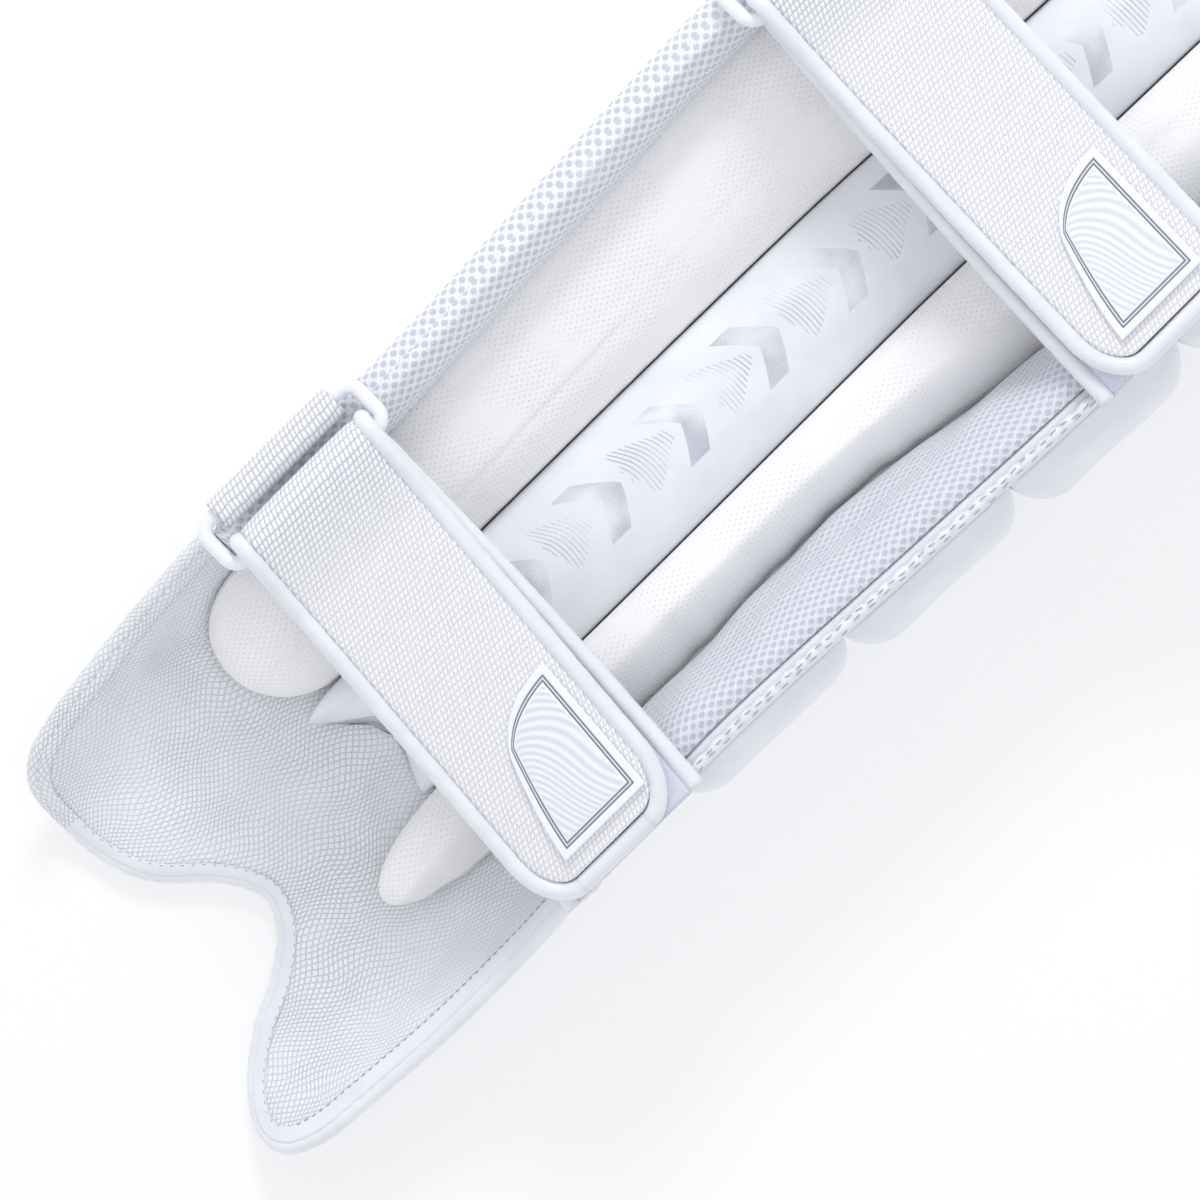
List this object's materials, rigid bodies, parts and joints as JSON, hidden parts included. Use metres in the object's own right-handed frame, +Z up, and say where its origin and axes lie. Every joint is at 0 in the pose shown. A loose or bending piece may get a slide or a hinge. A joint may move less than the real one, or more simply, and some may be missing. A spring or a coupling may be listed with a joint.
{
  "type": "wicket keeping leg guard",
  "caption": "Padded leg guard for a wicket keeper, with a two-lobed foot flap, long bolsters, mesh wings and straps that fold back through rings.",
  "frame": {"origin": "centre of the footprint of the guard lying on its front, at the surface that it lies on", "axes": "+Z up from the front face to the leg side, +Y along the guard from the foot flap to the knee, +X across towards the segmented side wing"},
  "size_m": [0.237, 0.6462, 0.1077],
  "materials": {
    "smooth_leather": "smooth coated synthetic leather, satin, cool white",
    "embossed_liner": "pebble-embossed synthetic leather, bluish white",
    "brushed_knit": "brushed knit over foam, warm off-white with tiny perforations",
    "air_mesh": "spacer mesh with small oval holes, cool white",
    "webbing": "coarse waffle webbing, white",
    "binding": "rolled synthetic leather binding, satin white",
    "moulded_plastic": "moulded nylon, glossy white",
    "moulded_patch": "moulded soft rubber patch, white with grey grooves"
  },
  "bodies": {
    "root": {"front_shell": "smooth_leather", "instep_flap": "embossed_liner", "flap_welt": "binding", "right_binding": "binding", "top_binding": "binding", "left_bolster": "brushed_knit", "centre_panel": "smooth_leather", "right_bolster": "brushed_knit", "left_wing_roll": "air_mesh", "right_wing_pad": "air_mesh", "shin_roll_1": "smooth_leather", "shin_roll_2": "smooth_leather", "shin_roll_3": "smooth_leather", "shin_roll_4": "smooth_leather", "shin_roll_5": "smooth_leather", "knee_roll_1": "smooth_leather", "knee_roll_2": "smooth_leather", "knee_roll_3": "smooth_leather", "top_pad": "smooth_leather", "side_roll_1": "smooth_leather", "side_roll_2": "smooth_leather", "side_roll_3": "smooth_leather", "side_roll_4": "smooth_leather", "side_roll_5": "smooth_leather", "lower_strap": "webbing", "lower_strap_piping": "binding", "lower_ring": "moulded_plastic", "lower_ring_tab": "webbing", "lower_badge": "moulded_patch", "upper_strap": "webbing", "upper_strap_piping": "binding", "upper_ring": "moulded_plastic", "upper_ring_tab": "webbing", "upper_badge": "moulded_patch"}
  },
  "joints": []
}
